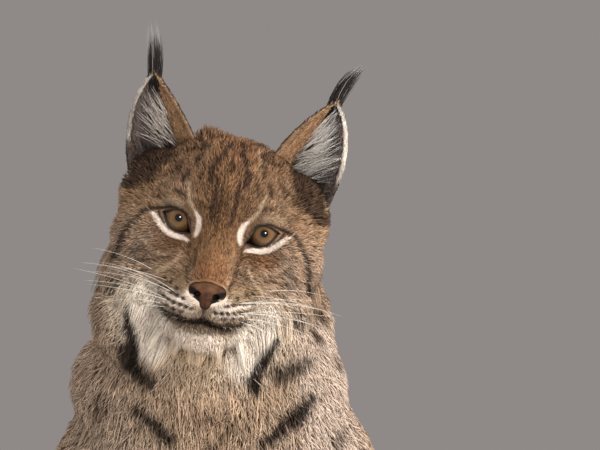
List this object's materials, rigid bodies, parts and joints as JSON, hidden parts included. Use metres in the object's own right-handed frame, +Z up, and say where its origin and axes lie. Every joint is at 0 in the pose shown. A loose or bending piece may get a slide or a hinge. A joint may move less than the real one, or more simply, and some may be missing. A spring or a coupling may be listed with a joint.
{
  "type": "eurasian lynx",
  "caption": "Life-size still model of a Eurasian lynx sitting upright, with tufted ears, a cheek ruff and a short tail.",
  "frame": {"origin": "on the floor, on the flat under the haunches, in the body's mid plane", "axes": "+Z up, -Y the way the lynx faces, +X its left side"},
  "size_m": [0.3601, 0.7066, 0.8858],
  "materials": {
    "coat": "dense tan fur with dark spots",
    "pale_fur": "cream fur of the chin",
    "black_fur": "black fur of the tail's end",
    "nose_skin": "bare reddish skin, slightly moist",
    "eye": "glass eye with an olive brown iris and a round pupil"
  },
  "bodies": {
    "root": {"head": "coat", "jaw": "pale_fur", "nose": "nose_skin", "eye_left": "eye", "eye_right": "eye", "ear_left": "coat", "ear_right": "coat", "neck": "coat", "chest": "coat", "loin": "coat", "shoulder_left": "coat", "shoulder_right": "coat", "foreleg_left": "coat", "foreleg_right": "coat", "fore_paw_left": "coat", "fore_paw_right": "coat", "thigh_left": "coat", "thigh_right": "coat", "hind_foot_left": "coat", "hind_foot_right": "coat", "hind_paw_left": "coat", "hind_paw_right": "coat", "tail": "coat", "tail_tip": "black_fur"}
  },
  "joints": []
}
